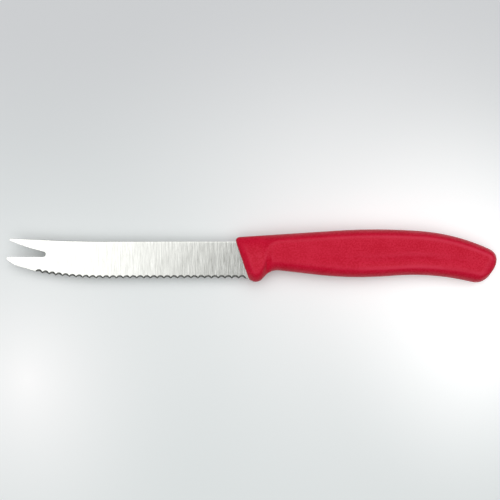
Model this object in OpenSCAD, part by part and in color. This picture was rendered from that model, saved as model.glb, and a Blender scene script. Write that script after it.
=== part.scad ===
// Tomato knife: a wavy-edged blade with a forked tip, and a one-piece handle moulded over its tang.
// The knife lies on its side. X runs from the tip to the butt, Y from the edge to the spine, and Z
// is up, towards the side on which the scallops are ground. The origin is on the surface that the
// handle rests on, under the middle of the knife's outline.

/* [Blade] */
// Length of the edge from the tip of the lower tine to the handle
edge_len = 109.8; // [100:0.1:125]
// Height of the blade from the spine to the tips of the teeth
blade_h = 16.9; // [16.5:0.1:17.5]
// Thickness of the steel before it is ground, as it stays all through the tang
stock_t = 1.1; // [0.8:0.1:2]
// Depth to which each side is ground at the spine by the handle
grind_in = 0.03; // [0.01:0.01:0.1]
// Thickness that the ground taper leaves behind the edge
edge_t = 0.32; // [0.2:0.02:0.6]
// Angle by which the taper runs out towards the tip
taper_lean = 1.1; // [0:0.1:2]
// Distance from the tip to where the edge becomes straight
belly_len = 43.8; // [40:0.1:46]
// Radius of the belly, where the edge curves up
belly_r = 168; // [155:1:180]
// Angle that the belly has reached where the plain edge of the lower tine takes over
belly_angle = 8.1; // [7.5:0.1:8.7]
// Distance from the tip to where the spine starts to rise
rise_len = 48.8; // [40:0.1:60]
// Radius of the spine's slight rise
rise_r = 800; // [600:10:1200]
// Straight length of the spine behind the upper tip
rise_end = 4; // [3:0.1:8]

/* [Forked tip] */
// Depth of the lower tine's inner edge below the spine
fork_floor = 6.95; // [6.7:0.05:7.4]
// Depth of the gap, back from the tip of the lower tine
fork_depth = 17.9; // [17:0.1:20]
// Radius at the root of the gap
fork_root_r = 1.17; // [0.9:0.01:1.4]
// Angle at which the gap opens towards the tips
fork_angle = 13.8; // [12:0.1:14.5]
// Distance by which the upper tip stands back from the lower one
tip_step = 1.5; // [0.5:0.1:3]
// Angle of the upper tine's slightly hooked underside at its tip
hook_angle = 22; // [20:1:24]
// Radius of that underside
hook_r = 80; // [60:5:90]
// Angle of the lower tine's outer edge at its tip
tine_angle = 37; // [35:1:39]
// Radius by which it turns into the plain edge
tine_r = 14; // [10:0.5:16]
// Angle of the plain edge, as far as the first scallop
plain_angle = 16; // [14:0.5:18]
// Radius of the upper tip
upper_tip_r = 0.6; // [0.3:0.05:0.65]
// Radius of the lower tip
lower_tip_r = 0.8; // [0.5:0.05:0.9]

/* [Wavy edge] */
// Distance from one scallop to the next
scallop_pitch = 3.07; // [2:0.05:4]
// Radius to which each scallop is ground
scallop_r = 3.9; // [3:0.1:6]
// Angle between the ground bevel and the side of the blade
bevel_angle = 22; // [20:1:40]
// Plain edge between the lower tip and the first scallop
plain_tip = 13; // [12:0.1:20]
// Plain edge between the last scallop and the handle
plain_heel = 1.6; // [0.5:0.1:8]

/* [Tang] */
// Depth to which the full height of the blade is carried into the handle
shoulder_in = 3; // [1.5:0.1:4]
// Length of the tang behind the front of the handle
tang_len = 63; // [50:1:90]
// Height of the tang
tang_h = 9; // [7:0.1:9.6]
// Distance of the tang's upper edge below the spine
tang_drop = 0.8; // [0.5:0.1:1.2]
// Radius of the inner corners where the tang leaves the shoulder
tang_fillet = 0.7; // [0.3:0.1:0.7]
// Radius of the corners at the tang's end
tang_end_r = 3; // [1:0.1:3.4]
// Diameter of the holes that the handle's plastic fills
anchor_d = 4; // [2.5:0.1:5]
// Number of these holes
anchor_count = 3; // [1:1:4]
// Distance between their centres
anchor_pitch = 14; // [8:0.5:15]
// Distance from the last hole's centre to the end of the tang
anchor_end = 9; // [6:0.5:14]

/* [Handle outline] */
// Length of the handle from the line of the spine to the sharp corner of the butt
handle_len = 119.9; // [112:0.1:130]
// Angle by which the front of the handle leans back from square
front_lean = 19.4; // [17:0.1:22]
// Angle by which the butt leans the other way
butt_lean = 30; // [27:0.5:33]
// Height of the front's upper corner above the spine
front_rise = 1.9; // [1.3:0.1:2.2]
// Height above the spine at which the two slopes of the back meet
back_rise = 6.1; // [5:0.1:6.6]
// Distance of that point in front of the butt's corner
back_setback = 55.6; // [50:0.2:60]
// Height of the rear shoulder above the spine
shoulder_rise = 3.6; // [2.8:0.1:3.8]
// Distance of the rear shoulder in front of the butt's corner
shoulder_setback = 20.3; // [18:0.1:22]
// Depth of the butt's upper corner below the spine
butt_drop = 5.8; // [5.5:0.1:6.5]
// Depth of the butt's lower corner below the spine
heel_drop = 19.5; // [18.5:0.1:19.8]
// Handle left under the blade's edge at the front
heel_cover = 0.3; // [0.2:0.1:0.6]
// Depth of the guard's corner below the blade's edge
guard_below = 2.4; // [2:0.1:3]
// Distance of the guard's corner behind the front
guard_at = 9.8; // [9.4:0.1:10.2]
// Depth of the finger throat below the spine
throat_drop = 12.7; // [11.8:0.1:13]
// Distance of the finger throat behind the front
throat_at = 16; // [15.5:0.1:17]
// Depth of the belly of the grip below the spine
belly_drop = 16.9; // [16:0.1:17.2]
// Depth of the rear hollow of the grip below the spine
hollow_drop = 14.3; // [13.2:0.1:14.4]
// Distance of the rear hollow in front of the butt's corner
hollow_setback = 31.3; // [28:0.1:33]

/* [Handle corners] */
// Radius of the front's upper corner
front_r = 1.7; // [1:0.1:2.2]
// Radius of the back's long crown
back_r = 275; // [220:5:300]
// Radius of the rear shoulder
shoulder_r = 90; // [70:1:95]
// Radius of the butt's upper corner
butt_r = 5.2; // [4:0.1:6]
// Radius of the butt's lower corner
heel_r = 6.7; // [5:0.1:7]
// Radius of the rear hollow
hollow_r = 110; // [90:1:120]
// Radius of the belly of the grip
grip_r = 173; // [150:1:185]
// Radius of the finger throat
throat_r = 7; // [5:0.1:7.5]
// Radius of the guard's corner
guard_r = 3.8; // [3:0.1:4]
// Radius of the front's lower corner
front_low_r = 0.8; // [0.4:0.1:1]

/* [Handle sides] */
// Thickness of the handle across its flat sides
handle_t = 12.6; // [11:0.1:15]
// Width of the rounded band above the flat side, along the grip
top_band = 3.1; // [2.4:0.1:4]
// Width of that band over the guard, from the front to the waist
top_waist = 12.5; // [8:0.1:13]
// Distance over which the upper band narrows behind the waist
top_reach = 5; // [3:0.1:8]
// Width of the rounded band below the flat side, along the grip
low_band = 4.4; // [3:0.1:5]
// Width of that band at the crease behind the guard
low_waist = 9.1; // [5:0.1:10]
// Reach of the crease along the lower band
low_reach = 1.6; // [1:0.1:3]
// Distance of the waist behind the front
waist_at = 8.9; // [8:0.1:13]
// Distance of the crease's foot behind the front
crease_at = 9.8; // [8:0.1:12]
// Distance by which the crease leans back for each millimetre that it rises
crease_lean = 0.5; // [0:0.05:0.8]
// Part of its quarter round that a band has turned through where it meets the flat side
band_round = 0.6; // [0.45:0.05:0.85]
// Height over which a band blends into the flat side
band_blend = 0.5; // [0.2:0.1:0.8]
// Depth of the thumb hollow in each side
thumb_depth = 0.8; // [0:0.05:1]
// Height of the thumb hollow's middle above the lower outline
thumb_up = 6.5; // [6:0.1:9]
// Height of the thumb hollow
thumb_h = 8; // [4:0.1:9]
// Distance of the thumb hollow's front end behind the front
thumb_from = 32; // [30:1:55]
// Distance of its rear end in front of the butt's corner
thumb_to = 4; // [4:1:30]
// Distance over which the front edge rolls over
front_roll = 3.5; // [1:0.1:5]
// Thickness that the roll takes off each side at the front
front_loss = 2.7; // [0.8:0.1:3]
// How soon the roll runs out behind the front: 1 is a plain chamfer, 2 a full curve
front_ease = 1.6; // [1.2:0.1:2.5]
// Distance over which the butt rolls over
butt_roll = 5; // [3:0.1:6]
// Thickness that is left across the face of the butt
butt_t = 4.6; // [3:0.1:8]

/* [Fineness] */
// Greatest distance between a drawn arc and the true one
arc_error = 0.01; // [0.005:0.005:0.04]
// Points round each section of the handle
section_points = 60; // [32:4:60]
// Distance between sections round the guard
guard_step = 0.8; // [0.8:0.1:2]
// Distance between sections along the grip
grip_step = 2.4; // [2:0.1:5]
// Sections in the roll of the front
front_sections = 6; // [4:1:8]
// Sections in the round of the butt
butt_sections = 10; // [8:1:14]

/* [Hidden] */

// Length by which a cutting shape passes what it cuts
spare = 4;
// Distance by which neighbouring scallops overlap past the tips of the teeth
tooth_overlap = 0.02;
// Distance from the belly to the corner of the plain edge, and the radius that rounds it
plain_lead = 1.5;
plain_r = 20;
// Distance within which a point counts as lying on a section's line
on_line = 0.000001;
// Most of a side that the arcs at its ends take up together
side_share = 0.98;
// Distance of the last section from the butt's own line
last_inset = 0.05;

// Thickness that the taper leaves at the spine by the handle
spine_t = stock_t - 2 * grind_in;

// Points along the blade
heel_x = blade_h * tan(front_lean);
tip_x = heel_x - edge_len;
belly_x = tip_x + belly_len;
rise_x = tip_x + rise_len;
rise_angle = asin((rise_len - tip_step - rise_end) / rise_r);
rise_corner = [rise_x - rise_r * tan(rise_angle / 2), 0];
fork_corner = [tip_x + fork_depth - fork_root_r + fork_root_r / tan(fork_angle / 2), -fork_floor];
belly_corner = [belly_x - belly_r * tan(belly_angle / 2), -blade_h];
plain_from = belly_r * tan(belly_angle / 2) + plain_lead;
plain_corner = belly_corner + plain_from * [-cos(belly_angle), sin(belly_angle)];

// Centres of the rounded tips, each tangent to the edge above it
upper_tip_x = tip_x + tip_step + upper_tip_r;
upper_tip = [upper_tip_x, (rise_corner.x - upper_tip_x) * tan(rise_angle) - upper_tip_r / cos(rise_angle)];
lower_tip = [tip_x + lower_tip_r, -fork_floor - lower_tip_r];
hook_start = upper_tip - upper_tip_r * [sin(hook_angle), cos(hook_angle)];
tine_start = lower_tip - lower_tip_r * [sin(tine_angle), cos(tine_angle)];

// Corners of the steel's outline with their radii, from the shoulder along the spine, round the
// tips, back along the edge to the heel, and round the tang
tang_top = -tang_drop;
tang_low = -tang_drop - tang_h;
steel_corners = [
    [shoulder_in, 0, 0],
    corner(rise_corner, rise_r),
    corner(crossing(rise_corner, -rise_angle, hook_start, -hook_angle), upper_tip_r),
    corner(crossing(hook_start, -hook_angle, fork_corner, -fork_angle), hook_r),
    corner(fork_corner, fork_root_r),
    corner(crossing(fork_corner, 0, tine_start, -tine_angle), lower_tip_r),
    corner(crossing(tine_start, -tine_angle, plain_corner, -plain_angle), tine_r),
    corner(plain_corner, plain_r),
    corner(belly_corner, belly_r),
    [heel_x + shoulder_in, -blade_h, tang_fillet],
    [front_x(tang_low) + shoulder_in, tang_low, tang_fillet],
    [tang_len, tang_low, tang_end_r],
    [tang_len, tang_top, tang_end_r],
    [front_x(tang_top) + shoulder_in, tang_top, 0]
];

// Scallops along the edge, counted from the heel
scallop_depth = (scallop_r - sqrt(pow(scallop_r, 2) - pow(scallop_pitch / 2, 2))) / sin(bevel_angle)
    + tooth_overlap;
straight_len = heel_x - plain_heel - belly_x;
wave_angle = asin((belly_len - plain_tip) / belly_r);
scallop_count = floor((straight_len + arc_length(belly_r, wave_angle)) / scallop_pitch);

// Corners of the handle's outline with their radii, from the front along the back to the guard
heel_corner_x = handle_len - (heel_drop - butt_drop) * tan(butt_lean);
hollow_x = handle_len - hollow_setback;
front_low = -blade_h - heel_cover;
handle_corners = [
    [front_x(front_rise), front_rise, front_r],
    [handle_len - back_setback, back_rise, back_r],
    [handle_len - shoulder_setback, shoulder_rise, shoulder_r],
    [handle_len, -butt_drop, butt_r],
    [heel_corner_x, -heel_drop, heel_r],
    [hollow_x, -hollow_drop, hollow_r],
    [(throat_at + hollow_x) / 2, -belly_drop, grip_r],
    [throat_at, -throat_drop, throat_r],
    [guard_at, -blade_h - guard_below, guard_r],
    [front_x(front_low), front_low, front_low_r]
];

steel_outline = rounded(steel_corners);
handle_outline = rounded(handle_corners);

// Lines of the sections, which turn from the lean of the front to the lean of the butt
butt_line_x = handle_len + butt_drop * tan(butt_lean);
butt_round = max(butt_roll, butt_r, heel_r) + 1;
guard_end = waist_at + 3 * top_reach;
guard_sections = ceil((guard_end - front_roll) / guard_step);
grip_sections = ceil((butt_line_x - butt_round - guard_end) / grip_step);
section_feet = concat(
    [for (k = [0 : front_sections - 1]) front_roll * (1 - cos(90 * k / front_sections))],
    [for (k = [0 : guard_sections - 1]) lerp(front_roll, guard_end, k / guard_sections)],
    [for (k = [0 : grip_sections - 1]) lerp(guard_end, butt_line_x - butt_round, k / grip_sections)],
    [for (k = [0 : butt_sections - 1]) butt_line_x - butt_round * (1 - sin(90 * k / butt_sections))],
    [butt_line_x - last_inset]
);

// Place of the origin in the outline
outline_x = [min([for (p = steel_outline) p.x]), max([for (p = handle_outline) p.x])];
outline_y = [min([for (p = handle_outline) p.y]), max([for (p = handle_outline) p.y])];
origin = [(outline_x[0] + outline_x[1]) / 2, (outline_y[0] + outline_y[1]) / 2, -handle_t / 2];

// Plain geometry
function lerp(a, b, t) = a + (b - a) * t;
function arc_length(r, angle) = r * angle * PI / 180;
function turned(v, angle) = [v.x * cos(angle) - v.y * sin(angle), v.x * sin(angle) + v.y * cos(angle)];
function unit(v) = v / norm(v);
function corner(p, r) = [p.x, p.y, r];
function crossing(p, angle_p, q, angle_q) =
    let (along_p = [cos(angle_p), sin(angle_p)], along_q = [cos(angle_q), sin(angle_q)])
    p + along_p * cross(q - p, along_q) / cross(along_p, along_q);

// X of the front of the handle at a height above the spine
function front_x(y) = -y * tan(front_lean);

// Half the angle at b between the sides to a and c
function half_angle(a, b, c) = acos(unit(a - b) * unit(c - b)) / 2;

// Points of a closed outline, each of whose corners [x, y, radius] is rounded by a tangent arc. Where
// a side is too short for the arcs at its ends, both are made smaller.
function rounded(corners) =
    let (
        count = len(corners),
        places = [for (c = corners) [c.x, c.y]],
        after = [for (i = [0 : count - 1]) places[(i + 1) % count]],
        before = [for (i = [0 : count - 1]) places[(i + count - 1) % count]],
        taken = [for (i = [0 : count - 1]) corners[i][2] / tan(half_angle(before[i], places[i], after[i]))],
        room = [
            for (i = [0 : count - 1])
                side_share * norm(after[i] - places[i]) / max(taken[i] + taken[(i + 1) % count], on_line)
        ]
    )
    [
        for (i = [0 : count - 1])
            let (fit = min(1, room[i], room[(i + count - 1) % count]))
            each rounded_corner(before[i], places[i], after[i], corners[i][2] * fit)
    ];
function rounded_corner(a, b, c, r) =
    r == 0 ? [b] :
    let (
        half = half_angle(a, b, c),
        centre = b + unit(unit(a - b) + unit(c - b)) * r / sin(half),
        start = b + unit(a - b) * r / tan(half) - centre,
        turn = sign(cross(b - a, c - b)) * (180 - 2 * half),
        steps = ceil(abs(turn) / (2 * acos(1 - arc_error / r)))
    )
    [for (k = [0 : steps]) centre + turned(start, turn * k / steps)];

// Half the ground blade's thickness at a point on its side
function half_ground(p) =
    lerp(spine_t, edge_t, -(p.x * sin(taper_lean) + p.y * cos(taper_lean)) / blade_h) / 2;

// Place and direction of the edge at a distance along it from the last scallop
function edge_angle(s) = max(0, s - straight_len) / arc_length(belly_r, 1);
function edge_point(s) =
    s < straight_len
        ? [belly_x + straight_len - s, -blade_h]
        : [belly_x, -blade_h] + belly_r * [-sin(edge_angle(s)), 1 - cos(edge_angle(s))];

// Where a section's line, which leans and has its foot on the spine's line, meets the outline
function outline_hits(foot, lean) =
    let (sides = [for (p = handle_outline) cross([sin(lean), -cos(lean)], p - [foot, 0]) - on_line])
    [
        for (i = [0 : len(sides) - 1])
            let (k = (i + 1) % len(sides))
            if ((sides[i] > 0) != (sides[k] > 0))
                lerp(handle_outline[i], handle_outline[k], sides[i] / (sides[i] - sides[k]))
    ];

// Height of the side over the middle plane
function smooth_min(a, b, blend) = min(a, b) - blend / 4 * pow(max(0, 1 - abs(a - b) / blend), 2);
function quarter(t) = sqrt(1 - pow(1 - min(t, 1), 2));
function swell(t) = abs(t) < 1 ? pow(cos(90 * t), 2) : 0;
function band_width(behind, grip, waist, reach) = lerp(grip, waist, exp(-pow(behind / reach, 2)));
function band_height(t) =
    let (past_flat = max(0, t - 1) * band_round * (1 - band_round) / pow(quarter(band_round), 2))
    handle_t / 2 * (quarter(band_round * min(t, 1)) / quarter(band_round) + past_flat);
function front_left(p) =
    let (behind = cross([sin(front_lean), -cos(front_lean)], p))
    1 - front_loss / (handle_t / 2) * pow(max(0, 1 - behind / front_roll), front_ease);
function butt_left(p) =
    let (way_in = cross([-sin(butt_lean), -cos(butt_lean)], [butt_line_x, 0] - p))
    lerp(butt_t / handle_t, 1, quarter(way_in / butt_roll));
function thumb_hollow(p, up) =
    let (middle = (thumb_from + handle_len - thumb_to) / 2, reach = (handle_len - thumb_to - thumb_from) / 2)
    thumb_depth * swell((p.x - middle) / reach) * swell((up - thumb_up) / (thumb_h / 2));
function side_height(foot, p, down, up) =
    let (
        upper = band_height(down / band_width(max(0, foot - waist_at), top_band, top_waist, top_reach)),
        lower = band_height(
            up / band_width(foot - crease_at - crease_lean * up, low_band, low_waist, low_reach)
        ),
        side = smooth_min(smooth_min(upper, lower, band_blend), handle_t / 2, band_blend)
    )
    side * front_left(p) * butt_left(p) - thumb_hollow(p, up);

// Points round one section of the handle, from the back down one side and up the other
function section(foot) =
    let (
        lean = lerp(front_lean, -butt_lean, foot / butt_line_x),
        hits = outline_hits(foot, lean),
        top = hits[0].y > hits[1].y ? hits[0] : hits[1],
        low = hits[0].y > hits[1].y ? hits[1] : hits[0],
        chord = norm(low - top)
    )
    [
        for (k = [0 : section_points - 1])
            let (
                share = (1 - cos(360 * k / section_points)) / 2,
                p = lerp(top, low, share),
                half = side_height(foot, p, chord * share, chord * (1 - share))
            )
            [p.x, p.y, 2 * k < section_points ? half : -half]
    ];

module handle_body() {
    sections = [for (foot = section_feet) section(foot)];
    last = (len(sections) - 1) * section_points;
    polyhedron(
        points = [for (ring = sections) each ring],
        faces = concat(
            [[for (k = [0 : section_points - 1]) k]],
            [
                for (i = [0 : len(sections) - 2], k = [0 : section_points - 1])
                    let (a = i * section_points + k, b = i * section_points + (k + 1) % section_points)
                    each [[a, a + section_points, b], [b, a + section_points, b + section_points]]
            ],
            [[for (k = [section_points - 1 : -1 : 0]) last + k]]
        )
    );
}

// The steel as it is stamped, before it is ground
module blank() {
    linear_extrude(stock_t, center = true)
        difference() {
            polygon(steel_outline);
            for (k = [0 : anchor_count - 1])
                translate([tang_len - anchor_end - k * anchor_pitch, (tang_top + tang_low) / 2])
                    circle(d = anchor_d, $fn = 48);
        }
}

// Everything in front of the handle, above the middle plane
module before_handle() {
    linear_extrude(spare)
        polygon([
            [front_x(spare), spare], [tip_x - spare, spare],
            [tip_x - spare, -blade_h - spare], [front_x(-blade_h - spare), -blade_h - spare]
        ]);
}

// What is ground off one side, which ends square at the front of the handle
module side_grind() {
    intersection() {
        before_handle();
        translate([0, 0, spine_t / 2])
            rotate([0, 0, -taper_lean])
                rotate([atan((spine_t - edge_t) / 2 / blade_h), 0, 0])
                    translate([tip_x - 2 * spare, -blade_h - 2 * spare, 0])
                        cube([edge_len + 4 * spare, blade_h + 2 * spare, spare]);
    }
}

// What the wheel grinds out for the scallop at a distance along the edge
module scallop(s) {
    angle = edge_angle(s);
    apex = edge_point(s) + scallop_depth * [sin(angle), cos(angle)];
    translate([apex.x, apex.y, -half_ground(apex)])
        rotate([0, 0, -angle])
            rotate([bevel_angle, 0, 0])
                translate([0, 0, scallop_r])
                    rotate([90, 0, 0])
                        cylinder(h = 2 * spare, r = scallop_r, center = true, $fn = 96);
}

module blade() {
    color("silver")
        translate(-origin)
            difference() {
                blank();
                for (side = [0, 1])
                    mirror([0, 0, side])
                        side_grind();
                for (k = [0 : scallop_count - 1])
                    scallop((k + 0.5) * scallop_pitch);
            }
}

module handle() {
    color("crimson")
        translate(-origin)
            difference() {
                handle_body();
                blank();
            }
}

blade();
handle();
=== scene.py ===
import math
import bpy
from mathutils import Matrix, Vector


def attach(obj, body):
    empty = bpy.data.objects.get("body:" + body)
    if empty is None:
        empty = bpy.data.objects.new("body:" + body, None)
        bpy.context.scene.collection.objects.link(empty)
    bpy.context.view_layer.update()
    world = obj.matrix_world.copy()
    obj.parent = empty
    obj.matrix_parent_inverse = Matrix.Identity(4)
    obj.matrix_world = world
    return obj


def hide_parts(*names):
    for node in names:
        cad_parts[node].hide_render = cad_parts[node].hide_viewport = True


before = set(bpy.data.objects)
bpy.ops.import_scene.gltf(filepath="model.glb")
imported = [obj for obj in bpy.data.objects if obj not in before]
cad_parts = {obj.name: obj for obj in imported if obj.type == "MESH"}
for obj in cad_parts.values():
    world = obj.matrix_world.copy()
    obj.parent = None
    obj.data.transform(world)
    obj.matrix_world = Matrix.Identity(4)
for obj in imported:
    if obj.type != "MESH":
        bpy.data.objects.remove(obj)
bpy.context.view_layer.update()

mm = 0.001
sameCorner = 0.001 * mm  # corners of the CAD nodes' loose triangles that are this close are one

# numbers of the sockets of a Mix node that mixes colours
mixShare, mixFrom, mixTo, mixed = 0, 6, 7, 2


def hexColor(text):  # sRGB hex to linear
    parts = [int(text[i:i + 2], 16) / 255 for i in (1, 3, 5)]
    return tuple(c / 12.92 if c <= 0.04045 else ((c + 0.055) / 1.055) ** 2.4 for c in parts) + (1.0,)


def addNode(tree, kind, settings=None, values=None, links=None):
    node = tree.nodes.new(kind)
    for name, value in (settings or {}).items():
        setattr(node, name, value)
    for socket, value in (values or {}).items():
        node.inputs[socket].default_value = value
    for socket, source in (links or {}).items():
        tree.links.new(source, node.inputs[socket])
    return node


def newMaterial(name):
    material = bpy.data.materials.new(name)
    material.use_nodes = True
    material.node_tree.nodes.clear()
    return material, material.node_tree


# 1 where the camera sees a thing or metal mirrors it, 0 where it only lights the knife
def seenOrMirrored(tree):
    path = addNode(tree, "ShaderNodeLightPath")
    mirrored = addNode(tree, "ShaderNodeMath", {"operation": "MAXIMUM"}, links={
        0: path.outputs["Is Glossy Ray"],
        1: path.outputs["Is Transmission Ray"],
    })
    shown = addNode(tree, "ShaderNodeMath", {"operation": "MAXIMUM"}, links={
        0: path.outputs["Is Camera Ray"],
        1: mirrored.outputs["Value"],
    })
    return shown.outputs["Value"]


# the camera looks straight down, as the photograph does
print("camera")
cameraSetup = {
    "height": 386 * mm,  # a phone held over the table
    "aim": (-0.49 * mm, 2.69 * mm),  # middle of the picture
    "frameWidth": 226.35 * mm,  # width that the picture covers at the blade's height
    "bladeHeight": 6.3 * mm,
    "sensor": 36,  # mm
    "clip": (0.01, 20),  # metres from the camera at which its view starts and ends
}
cameraData = bpy.data.cameras.new("phoneCamera")
distance = cameraSetup["height"] - cameraSetup["bladeHeight"]
cameraData.sensor_width = cameraSetup["sensor"]
cameraData.lens = cameraSetup["sensor"] * distance / cameraSetup["frameWidth"]
cameraData.clip_start, cameraData.clip_end = cameraSetup["clip"]
camera = bpy.data.objects.new("phoneCamera", cameraData)
camera.location = (*cameraSetup["aim"], cameraSetup["height"])
bpy.context.scene.collection.objects.link(camera)
bpy.context.scene.camera = camera

# white card on a table, with soft pools of light and a darker far side painted on it; it throws little
# light back on the knife
print("table")
tableSetup = {
    "size": 6.0,
    "height": -0.02 * mm,  # just clear of the handle's flat side
    "card": "#dee3e3",
    "paintedFarShade": "#d0d2d4",  # painted shade, darker towards the far edge
    "far": (-20 * mm, 115 * mm),  # from where to where it turns to the shade
    "returned": 0.5,  # how pale it is to the rays that light the knife
    "pools": [  # middle in mm, reach in mm, colour, glow that lifts it to pure white
        ((58, 3), (174, 151), "#ffffff", 0.05),
        ((-103, -57), (94, 116), "#ffffff", 0.0),
        ((106, -23), (82, 108), "#ffffff", 0.3),
    ],
}
bpy.ops.mesh.primitive_plane_add(size=tableSetup["size"], location=(0, 0, tableSetup["height"]))
table = bpy.context.object
table.name = "tableTop"
card, tree = newMaterial("matteWhiteCard")
place = addNode(tree, "ShaderNodeTexCoord")
axes = addNode(tree, "ShaderNodeSeparateXYZ", links={"Vector": place.outputs["Object"]})
near, far = tableSetup["far"]
# painted shade: the card darkens towards the far edge
toPaintedShade = addNode(
    tree, "ShaderNodeMapRange", {"interpolation_type": "SMOOTHSTEP"},
    {"From Min": near, "From Max": far},
    {"Value": axes.outputs["Y"]})
tint = addNode(
    tree, "ShaderNodeMix", {"data_type": "RGBA"},
    {mixFrom: hexColor(tableSetup["card"]), mixTo: hexColor(tableSetup["paintedFarShade"])},
    {mixShare: toPaintedShade.outputs["Result"]})
color = tint.outputs[mixed]
glow = None
for middle, reach, poolColor, lift in tableSetup["pools"]:
    spread = addNode(
        tree, "ShaderNodeMapping", {"vector_type": "TEXTURE"},
        {"Location": (middle[0] * mm, middle[1] * mm, 0), "Scale": (reach[0] * mm, reach[1] * mm, 1)},
        {"Vector": place.outputs["Object"]})
    pool = addNode(
        tree, "ShaderNodeTexGradient", {"gradient_type": "QUADRATIC_SPHERE"},
        links={"Vector": spread.outputs["Vector"]})
    tint = addNode(
        tree, "ShaderNodeMix", {"data_type": "RGBA"},
        {mixTo: hexColor(poolColor)},
        {mixShare: pool.outputs["Fac"], mixFrom: color})
    color = tint.outputs[mixed]
    lifted = addNode(
        tree, "ShaderNodeMath", {"operation": "MULTIPLY_ADD"},
        {1: lift, 2: 0.0},
        {0: pool.outputs["Fac"]})
    if glow:
        tree.links.new(glow, lifted.inputs[2])
    glow = lifted.outputs["Value"]
shown = seenOrMirrored(tree)
tint = addNode(
    tree, "ShaderNodeMix", {"data_type": "RGBA"},
    {mixFrom: (tableSetup["returned"],) * 3 + (1,)},
    {mixShare: shown, mixTo: color})
paper = addNode(tree, "ShaderNodeBsdfDiffuse", links={"Color": tint.outputs[mixed]})
strength = addNode(tree, "ShaderNodeMath", {"operation": "MULTIPLY"}, links={0: shown, 1: glow})
shine = addNode(tree, "ShaderNodeEmission", links={"Strength": strength.outputs["Value"]})
both = addNode(
    tree, "ShaderNodeAddShader",
    links={0: paper.outputs["BSDF"], 1: shine.outputs["Emission"]})
addNode(tree, "ShaderNodeOutputMaterial", links={"Surface": both.outputs["Shader"]})
table.data.materials.append(card)

# a soft ceiling that fades to the walls, brighter behind the knife, and dimmer straight overhead
print("light")
lightSetup = {
    "walls": 0.12,
    "ceiling": 2.1,
    "fade": (0.52, 0.94),  # sine of the height where the walls end and where the ceiling is full
    "farSide": 0.4,  # how much brighter it is behind the knife, and how much darker before it
    "overhead": (0.08, 15),  # what is left there, and the half angle of that dip
    "dipTowards": (0.09, -0.11, 1),
    "horizon": "#dae1e0",  # seen and mirrored only, so that the card seems to go on; it lights nothing
    "horizonFade": (0.1, 0.45),  # sine of the height up to which it is full, and where it ends
}
world = bpy.data.worlds.new("softRoom")
bpy.context.scene.world = world
world.use_nodes = True
world.node_tree.nodes.clear()
tree = world.node_tree
place = addNode(tree, "ShaderNodeTexCoord")
axes = addNode(tree, "ShaderNodeSeparateXYZ", links={"Vector": place.outputs["Generated"]})
low, high = lightSetup["fade"]
rise = addNode(
    tree, "ShaderNodeMapRange", {"interpolation_type": "SMOOTHSTEP"},
    {"From Min": low, "From Max": high, "To Min": lightSetup["walls"], "To Max": lightSetup["ceiling"]},
    {"Value": axes.outputs["Z"]})
farSide = lightSetup["farSide"]
lean = addNode(
    tree, "ShaderNodeMapRange",
    values={"From Min": -1, "From Max": 1, "To Min": 1 - farSide, "To Max": 1 + farSide},
    links={"Value": axes.outputs["Y"]})
nearness = addNode(
    tree, "ShaderNodeVectorMath", {"operation": "DOT_PRODUCT"},
    {1: Vector(lightSetup["dipTowards"]).normalized()},
    {0: place.outputs["Generated"]})
left, halfAngle = lightSetup["overhead"]
dip = addNode(
    tree, "ShaderNodeMapRange", {"interpolation_type": "SMOOTHSTEP"},
    {"From Min": math.cos(math.radians(halfAngle)), "From Max": 1, "To Min": 1, "To Max": left},
    {"Value": nearness.outputs["Value"]})
leaning = addNode(
    tree, "ShaderNodeMath", {"operation": "MULTIPLY"},
    links={0: rise.outputs["Result"], 1: lean.outputs["Result"]})
dipped = addNode(
    tree, "ShaderNodeMath", {"operation": "MULTIPLY"},
    links={0: leaning.outputs["Value"], 1: dip.outputs["Result"]})
low, high = lightSetup["horizonFade"]
horizon = addNode(
    tree, "ShaderNodeMapRange", {"interpolation_type": "SMOOTHSTEP"},
    {"From Min": low, "From Max": high, "To Min": 1, "To Max": 0},
    {"Value": axes.outputs["Z"]})
paleness = addNode(
    tree, "ShaderNodeMath", {"operation": "MULTIPLY"},
    links={0: horizon.outputs["Result"], 1: seenOrMirrored(tree)})
gray = addNode(tree, "ShaderNodeCombineXYZ", links={axis: dipped.outputs["Value"] for axis in "XYZ"})
tint = addNode(
    tree, "ShaderNodeMix", {"data_type": "RGBA"},
    {mixTo: hexColor(lightSetup["horizon"])},
    {mixShare: paleness.outputs["Value"], mixFrom: gray.outputs["Vector"]})
background = addNode(
    tree, "ShaderNodeBackground",
    values={"Strength": 1.0},
    links={"Color": tint.outputs[mixed]})
addNode(tree, "ShaderNodeOutputWorld", links={"Surface": background.outputs["Background"]})


# a copy of a CAD node, its loose triangles joined, ready to dress
def mergedCopy(nodeName, pieceName):
    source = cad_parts[nodeName]
    piece = source.copy()
    piece.data = source.data.copy()
    piece.name = pieceName
    piece.parent = None
    for key in list(piece.keys()):
        del piece[key]
    bpy.context.scene.collection.objects.link(piece)
    bpy.ops.object.select_all(action="DESELECT")
    piece.select_set(True)
    bpy.context.view_layer.objects.active = piece
    bpy.ops.object.mode_set(mode="EDIT")
    bpy.ops.mesh.select_all(action="SELECT")
    bpy.ops.mesh.remove_doubles(threshold=sameCorner)
    bpy.ops.object.mode_set(mode="OBJECT")
    return piece


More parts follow.
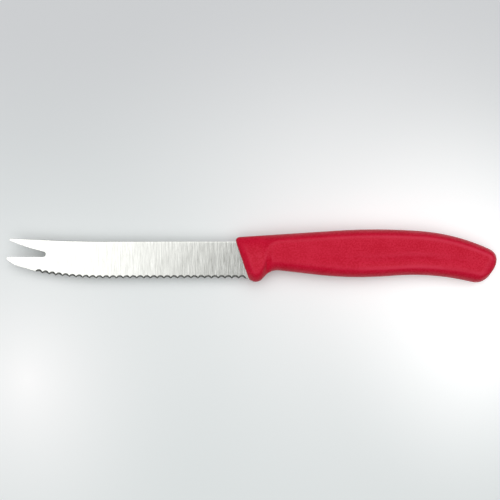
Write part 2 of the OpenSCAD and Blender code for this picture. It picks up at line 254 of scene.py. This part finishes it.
# stainless sheet, taper-ground, so fine lines run across the blade
print("blade")
bladeSetup = {
    "flat": 1.0,  # degrees that joined facets of one ground plane may turn
    "softEdge": 0.36 * mm,  # what tumbling takes off the edges of the back
    "softSteps": 3,
    "tineShare": 0.25,  # the share of it that it takes off the edges of the tines
    "back": (-91 * mm, 6.5 * mm),  # the back's edges lie behind this X and above this Y
    "front": (-4.65 * mm, 19.4),  # where the handle's front crosses Y = 0, and its lean in degrees
    "clear": 0.5 * mm,  # an edge this close to that front, or behind it, stays sharp
    "turn": (70, 110),  # degrees by which the faces turn at an edge that is softened
    "weld": 0.005 * mm,  # corners of the softened edges this close become one
    "smooth": 20,  # degrees below which facets are one curved surface
    "ground": 5,  # degrees from level within which a face is one of the ground planes
    "line": (0.4, 8),  # width and length in mm of a grinding line; real ones are finer
    "lineNoise": {"Scale": 1.0, "Detail": 3.0, "Roughness": 0.7},
    "groove": "#bcbdb8",
    "crest": "#dddeda",
    "tonesFrom": (0.32, 0.68),  # noise at which a line is a full groove, and a full crest
    "roughness": (0.16, 0.24),  # of a groove and of a crest
    "roughFrom": (0.3, 0.7),  # noise at which it is all the one, and all the other
    "bump": (0.25, 0.02 * mm),  # strength and depth of the lines
    "spread": 0.5,  # how far the lines draw a reflection out along the blade
    "paintedShadeOnScallopsAndBack": "#8b8c89",  # painted shade on the wheel-ground scallops and on the softened back
    "bevel": (15, 50),  # degrees from level of the faces that the wheel ground for the scallops
    "bevelTurn": 0.5,  # they face the edge at least this much for each part they face along it
    "backFacing": 0.3,  # a face that turns to the back by more than this belongs to it
}
steel, tree = newMaterial("groundStainlessSteel")
place = addNode(tree, "ShaderNodeTexCoord")
lineWidth, lineLength = bladeSetup["line"]
stretch = addNode(
    tree, "ShaderNodeMapping",
    values={"Scale": (1 / (lineWidth * mm), 1 / (lineLength * mm), 1 / (lineWidth * mm))},
    links={"Vector": place.outputs["Object"]})
lines = addNode(
    tree, "ShaderNodeTexNoise",
    values=bladeSetup["lineNoise"],
    links={"Vector": stretch.outputs["Vector"]})
low, high = bladeSetup["tonesFrom"]
height = addNode(
    tree, "ShaderNodeMapRange",
    values={"From Min": low, "From Max": high},
    links={"Value": lines.outputs["Fac"]})
tone = addNode(
    tree, "ShaderNodeMix", {"data_type": "RGBA"},
    {mixFrom: hexColor(bladeSetup["groove"]), mixTo: hexColor(bladeSetup["crest"])},
    {mixShare: height.outputs["Result"]})
# painted shade on the scallops and the back
darker = addNode(tree, "ShaderNodeAttribute", {"attribute_name": "paintedShadeOnScallopsAndBack"})
tone = addNode(
    tree, "ShaderNodeMix", {"data_type": "RGBA"},
    {mixTo: hexColor(bladeSetup["paintedShadeOnScallopsAndBack"])},
    {mixShare: darker.outputs["Fac"], mixFrom: tone.outputs[mixed]})
low, high = bladeSetup["roughFrom"]
ofGroove, ofCrest = bladeSetup["roughness"]
rough = addNode(
    tree, "ShaderNodeMapRange",
    values={"From Min": low, "From Max": high, "To Min": ofGroove, "To Max": ofCrest},
    links={"Value": lines.outputs["Fac"]})
bumpStrength, bumpDepth = bladeSetup["bump"]
grooves = addNode(
    tree, "ShaderNodeBump",
    values={"Strength": bumpStrength, "Distance": bumpDepth},
    links={"Height": lines.outputs["Fac"]})
across = addNode(tree, "ShaderNodeCombineXYZ", values={"X": 1.0})  # along the blade, so across the lines
shader = addNode(
    tree, "ShaderNodeBsdfPrincipled",
    values={"Metallic": 1.0, "Anisotropic": bladeSetup["spread"]},
    links={
        "Base Color": tone.outputs[mixed],
        "Roughness": rough.outputs["Result"],
        "Normal": grooves.outputs["Normal"],
        "Tangent": across.outputs["Vector"],
    })
addNode(tree, "ShaderNodeOutputMaterial", links={"Surface": shader.outputs["BSDF"]})

blade = mergedCopy("blade", "bladeSteel")
bpy.ops.object.mode_set(mode="EDIT")
bpy.ops.mesh.select_all(action="SELECT")
bpy.ops.mesh.dissolve_limited(angle_limit=math.radians(bladeSetup["flat"]))
bpy.ops.object.mode_set(mode="OBJECT")

# the sharp outer edges are softened, more on the back than on the tines
mesh = blade.data
weights = mesh.attributes.new("bevel_weight_edge", "FLOAT", "EDGE")
edgeFaces = {}
for polygon in mesh.polygons:
    for key in polygon.edge_keys:
        edgeFaces.setdefault(key, []).append(polygon.normal)
least, most = bladeSetup["turn"]
frontX, frontLean = bladeSetup["front"]
backX, backY = bladeSetup["back"]
for edge in mesh.edges:
    first, second = (mesh.vertices[corner].co for corner in edge.vertices)
    middle = (first + second) / 2
    beforeFront = frontX - middle.y * math.tan(math.radians(frontLean)) - middle.x
    normals = edgeFaces.get(edge.key, [])
    if beforeFront > bladeSetup["clear"] and len(normals) == 2:
        turn = math.degrees(normals[0].angle(normals[1], 0))
        onBack = middle.x > backX and middle.y > backY
        if least < turn < most:
            weights.data[edge.index].value = 1.0 if onBack else bladeSetup["tineShare"]
soften = blade.modifiers.new("soften", "BEVEL")
soften.limit_method = "WEIGHT"
soften.width = bladeSetup["softEdge"]
soften.segments = bladeSetup["softSteps"]
soften.use_clamp_overlap = False
bpy.ops.object.modifier_apply(modifier="soften")
bpy.ops.object.mode_set(mode="EDIT")
bpy.ops.mesh.select_all(action="SELECT")
bpy.ops.mesh.remove_doubles(threshold=bladeSetup["weld"])
bpy.ops.mesh.quads_convert_to_tris()
bpy.ops.object.mode_set(mode="OBJECT")
bpy.ops.object.shade_smooth_by_angle(angle=math.radians(bladeSetup["smooth"]))

# the ground planes stay flat, and the scallops and the back, picked by which way their faces turn, are
# marked for painted shade
darkFaces = mesh.attributes.new("paintedShadeOnScallopsAndBack", "FLOAT", "FACE")
least, most = bladeSetup["bevel"]
for polygon in mesh.polygons:
    normal = polygon.normal
    tilt = math.degrees(math.acos(min(1, abs(normal.z))))
    if tilt < bladeSetup["ground"]:
        polygon.use_smooth = False
    facesEdge = normal.y < -abs(normal.x) * bladeSetup["bevelTurn"]
    isScallop = normal.z > 0 and least < tilt < most and facesEdge
    isBack = normal.y > bladeSetup["backFacing"]
    darkFaces.data[polygon.index].value = 1.0 if isScallop or isBack else 0.0
print("blade faces", len(mesh.polygons))
mesh.materials.clear()
mesh.materials.append(steel)
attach(blade, "root")
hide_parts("blade")

# crimson polypropylene, injection moulded in a spark-eroded mould: matte with a fine grain, with a
# paler painted highlight along its ridges
print("handle")
handleSetup = {
    "crimson": "#bf0028",
    "pale": "#cb1738",  # where the grain scatters more
    "paintedRidgeHighlight": "#d02c48",  # painted highlight along the ridges
    "grain": 0.7,  # mm; the real grain is about 0.1 and wouldn't show
    "grainNoise": {"Detail": 3.0, "Roughness": 0.6},
    "cloud": 6,  # mm, slow change in the finish
    "cloudNoise": {"Detail": 2.0},
    "grainWeight": 3.5,  # how much more the grain shows than the cloud
    "speckleFrom": (1.95, 2.55),  # sum of the two at which the skin is all crimson, and all pale
    "roughness": (0.46, 0.36),  # of the crimson and of the pale
    "bump": (0.5, 0.05 * mm),  # strength and depth of the grain
    "gloss": 0.13,
    "voxel": 0.35 * mm,
    "smoothing": 0.5,  # how far one smoothing moves a point towards its neighbours
    "smoothings": 3,
    "relaxing": 25,  # smoothings of the copy that shows where the ridges are
    "ridgeHeight": 0.07 * mm,  # height over that copy at which a ridge gets the full painted highlight
    "ridgeFacing": (0.8, 0.95),  # how level the surface is, from no painted highlight to full
    "highlightGrowsFrom": (15 * mm, 75 * mm),  # the painted highlight grows from the first X to the second
    "highlightShare": (0.3, 1.0),  # how far it goes at the two
}
plastic, tree = newMaterial("mouldedPolypropylene")
place = addNode(tree, "ShaderNodeTexCoord")
grain = addNode(
    tree, "ShaderNodeTexNoise",
    values={"Scale": 1 / (handleSetup["grain"] * mm), **handleSetup["grainNoise"]},
    links={"Vector": place.outputs["Object"]})
cloud = addNode(
    tree, "ShaderNodeTexNoise",
    values={"Scale": 1 / (handleSetup["cloud"] * mm), **handleSetup["cloudNoise"]},
    links={"Vector": place.outputs["Object"]})
speckle = addNode(
    tree, "ShaderNodeMath", {"operation": "MULTIPLY_ADD"},
    {1: handleSetup["grainWeight"]},
    {0: grain.outputs["Fac"], 2: cloud.outputs["Fac"]})
low, high = handleSetup["speckleFrom"]
share = addNode(
    tree, "ShaderNodeMapRange",
    values={"From Min": low, "From Max": high},
    links={"Value": speckle.outputs["Value"]})
skin = addNode(
    tree, "ShaderNodeMix", {"data_type": "RGBA"},
    {mixFrom: hexColor(handleSetup["crimson"]), mixTo: hexColor(handleSetup["pale"])},
    {mixShare: share.outputs["Result"]})
ridgeHighlight = addNode(tree, "ShaderNodeAttribute", {"attribute_name": "ridgeHighlight"})
axes = addNode(tree, "ShaderNodeSeparateXYZ", links={"Vector": place.outputs["Object"]})
start, end = handleSetup["highlightGrowsFrom"]
leastHighlight, mostHighlight = handleSetup["highlightShare"]
rear = addNode(
    tree, "ShaderNodeMapRange",
    values={"From Min": start, "From Max": end, "To Min": leastHighlight, "To Max": mostHighlight},
    links={"Value": axes.outputs["X"]})
# painted highlight on the level ridges, growing towards the rear
paintedHighlight = addNode(
    tree, "ShaderNodeMath", {"operation": "MULTIPLY"},
    links={0: ridgeHighlight.outputs["Fac"], 1: rear.outputs["Result"]})
color = addNode(
    tree, "ShaderNodeMix", {"data_type": "RGBA"},
    {mixTo: hexColor(handleSetup["paintedRidgeHighlight"])},
    {mixShare: paintedHighlight.outputs["Value"], mixFrom: skin.outputs[mixed]})
ofCrimson, ofPale = handleSetup["roughness"]
rough = addNode(
    tree, "ShaderNodeMapRange",
    values={"From Min": low, "From Max": high, "To Min": ofCrimson, "To Max": ofPale},
    links={"Value": speckle.outputs["Value"]})
bumpStrength, bumpDepth = handleSetup["bump"]
texture = addNode(
    tree, "ShaderNodeBump",
    values={"Strength": bumpStrength, "Distance": bumpDepth},
    links={"Height": grain.outputs["Fac"]})
shader = addNode(
    tree, "ShaderNodeBsdfPrincipled",
    values={"Specular IOR Level": handleSetup["gloss"]},
    links={
        "Base Color": color.outputs[mixed],
        "Roughness": rough.outputs["Result"],
        "Normal": texture.outputs["Normal"],
    })
addNode(tree, "ShaderNodeOutputMaterial", links={"Surface": shader.outputs["BSDF"]})


def smoothOut(piece, times):
    bpy.context.view_layer.objects.active = piece
    smooth = piece.modifiers.new("smooth", "SMOOTH")
    smooth.factor = handleSetup["smoothing"]
    smooth.iterations = times
    bpy.ops.object.modifier_apply(modifier="smooth")


moulding = mergedCopy("handle", "handleMoulding")
remesh = moulding.modifiers.new("remesh", "REMESH")
remesh.mode = "VOXEL"
remesh.voxel_size = handleSetup["voxel"]
remesh.use_smooth_shade = True
bpy.ops.object.modifier_apply(modifier="remesh")
smoothOut(moulding, handleSetup["smoothings"])

# ridges stand proud of a copy that is smoothed away; only those beside the flat sides get the painted
# highlight
relaxed = moulding.copy()
relaxed.data = moulding.data.copy()
bpy.context.scene.collection.objects.link(relaxed)
smoothOut(relaxed, handleSetup["relaxing"])
ridgeHighlights = moulding.data.attributes.new("ridgeHighlight", "FLOAT", "POINT")
steep, level = handleSetup["ridgeFacing"]
for vertex, other in zip(moulding.data.vertices, relaxed.data.vertices):
    proud = (vertex.co - other.co).dot(vertex.normal) / handleSetup["ridgeHeight"]
    facing = (abs(vertex.normal.z) - steep) / (level - steep)
    ridgeHighlights.data[vertex.index].value = max(0, min(1, proud)) * max(0, min(1, facing))
bpy.data.objects.remove(relaxed)
bpy.context.view_layer.objects.active = moulding
print("moulding faces", len(moulding.data.polygons))
moulding.data.materials.clear()
moulding.data.materials.append(plastic)
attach(moulding, "root")
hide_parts("handle")

scene = bpy.context.scene
scene.view_settings.view_transform = "Standard"
